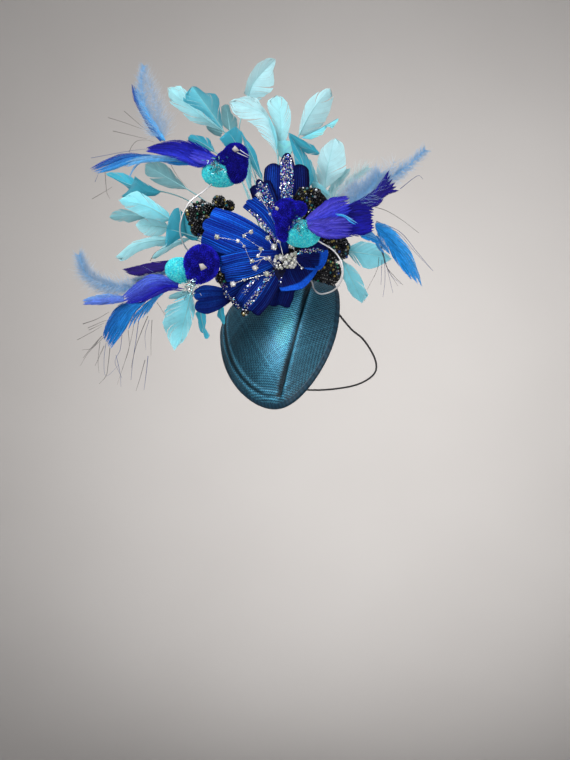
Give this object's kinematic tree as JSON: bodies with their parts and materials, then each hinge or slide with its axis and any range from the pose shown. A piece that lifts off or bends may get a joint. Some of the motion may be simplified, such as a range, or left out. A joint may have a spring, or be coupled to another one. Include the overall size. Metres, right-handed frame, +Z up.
{
  "type": "feather and flower fascinator",
  "caption": "Tilted teardrop cap of woven straw carrying a velvet flower, feather sprays, beaded leaves and craft birds on curled wires, held by a round elastic.",
  "frame": {"origin": "middle of the cap's seat on the head, in the plane of its rim", "axes": "+X to the right as seen from the front, +Y to the back of the head, +Z up"},
  "size_m": [0.3341, 0.2116, 0.3631],
  "materials": {
    "sinamay": "woven straw",
    "elastic": "matte",
    "binding": "matte",
    "velvet": "pressed velvet",
    "jet_beads": "faceted",
    "crystal": "faceted",
    "silver_wire": "satin",
    "bird_crumb": "crumbed",
    "bird_velvet": "flocked",
    "royal_feather": "feather",
    "azure_feather": "feather",
    "aqua_feather": "feather"
  },
  "bodies": {
    "root": {"cap": "sinamay", "elastic": "elastic", "stem_binding": "binding", "petal_top": "velvet", "petal_top_left": "velvet", "petal_left_strip": "velvet", "petal_left_big": "velvet", "petal_left_middle": "velvet", "petal_left_low": "velvet", "petal_low_outer": "velvet", "petal_low_left": "velvet", "petal_low": "velvet", "petal_low_right": "velvet", "petal_right": "velvet", "petal_small_heart": "velvet", "beaded_leaf_left": "jet_beads", "beaded_leaf_top": "jet_beads", "beaded_leaf_right": "jet_beads", "crystal_spray_left": "crystal", "crystal_spray_middle": "crystal", "bird_wire_left": "silver_wire", "bird_wire_right": "silver_wire", "bird_wire_low": "silver_wire", "bird_left_body": "bird_crumb", "bird_left_head": "bird_velvet", "bird_left_wing": "royal_feather", "bird_left_tail": "azure_feather", "bird_right_body": "bird_crumb", "bird_right_head": "bird_velvet", "bird_right_wing": "royal_feather", "bird_right_tail": "azure_feather", "bird_low_body": "bird_crumb", "bird_low_head": "bird_velvet", "bird_low_wing": "royal_feather", "bird_low_tail": "azure_feather", "feather_left_top_light": "aqua_feather", "feather_left_top_teal": "aqua_feather", "feather_left_top_square": "aqua_feather", "feather_left_top_blade": "aqua_feather", "feather_left_top_pair": "aqua_feather", "feather_left_behind_bird": "aqua_feather", "feather_top_tall": "aqua_feather", "feather_top_curved": "aqua_feather", "feather_top_left": "aqua_feather", "feather_top_blade": "aqua_feather", "feather_top_right": "aqua_feather", "feather_right_soft": "aqua_feather", "feather_right_low_soft": "aqua_feather", "feather_right_fluffy": "aqua_feather", "feather_right_fan": "aqua_feather", "feather_right_low": "aqua_feather", "feather_left_grey": "aqua_feather", "feather_left_far": "aqua_feather", "feather_left_light": "aqua_feather", "feather_left_small": "aqua_feather", "feather_left_pale": "aqua_feather", "feather_left_long": "aqua_feather", "feather_left_curled": "aqua_feather", "feather_low_light": "aqua_feather", "feather_low_pair": "aqua_feather"}
  },
  "joints": []
}
